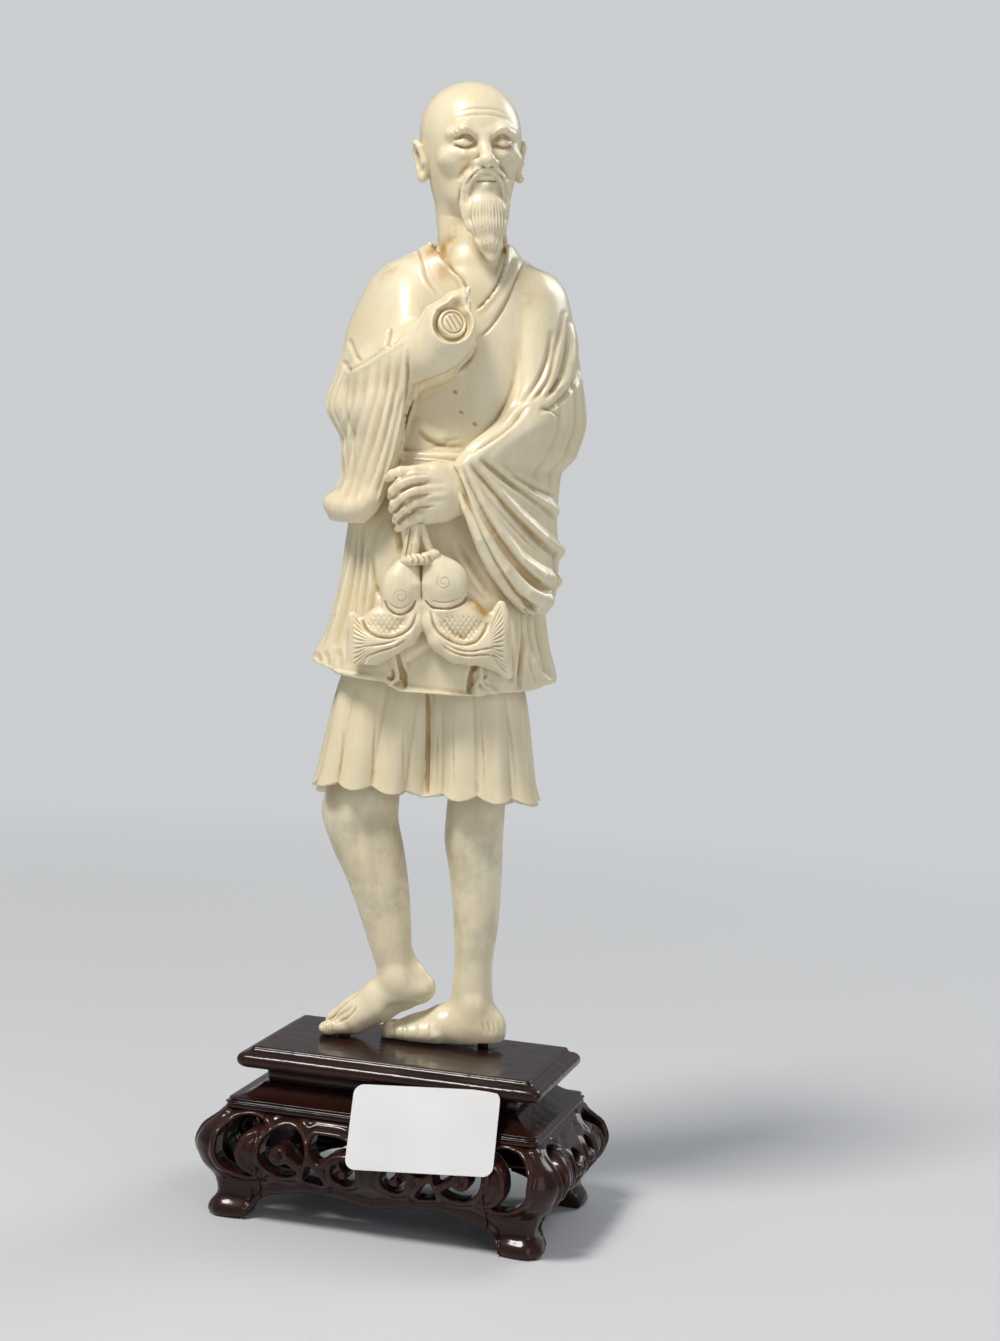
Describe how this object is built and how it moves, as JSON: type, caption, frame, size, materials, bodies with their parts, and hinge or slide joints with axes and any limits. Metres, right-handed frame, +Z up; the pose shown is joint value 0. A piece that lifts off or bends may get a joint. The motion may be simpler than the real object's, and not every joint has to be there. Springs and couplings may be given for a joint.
{
  "type": "carved figurine on stand",
  "caption": "Carved bone fisherman in a wide-sleeved robe, holding fish on cords, standing barefoot on a pierced rosewood stand with scroll aprons and curled feet.",
  "frame": {"origin": "on the floor under the middle of the stand", "axes": "+Z up, +X along the stand's long front side, +Y towards the back; the figure faces about -Y, turned by fourteen degrees"},
  "size_m": [0.0662, 0.0478, 0.1984],
  "materials": {
    "bone": "polished cream bone",
    "rosewood": "glossy dark lacquer",
    "peg": "plain dark wood"
  },
  "bodies": {
    "root": {"head": "bone", "neck_peg": "peg", "robe_body": "bone", "right_sleeve": "bone", "right_cuff": "bone", "right_fist": "bone", "left_sleeve": "bone", "left_hand": "bone", "fish_cords": "bone", "right_fish": "bone", "left_fish": "bone", "trousers": "bone", "waist_peg": "peg", "right_leg": "bone", "left_leg": "bone", "right_foot_peg": "peg", "left_foot_peg": "peg", "top_plate": "rosewood", "neck_block": "rosewood", "shoulder_board": "rosewood", "dowel_left": "peg", "dowel_right": "peg", "apron_front": "rosewood", "apron_back": "rosewood", "apron_left": "rosewood", "apron_right": "rosewood", "foot_front_left": "rosewood", "foot_front_right": "rosewood", "foot_back_left": "rosewood", "foot_back_right": "rosewood"}
  },
  "joints": []
}
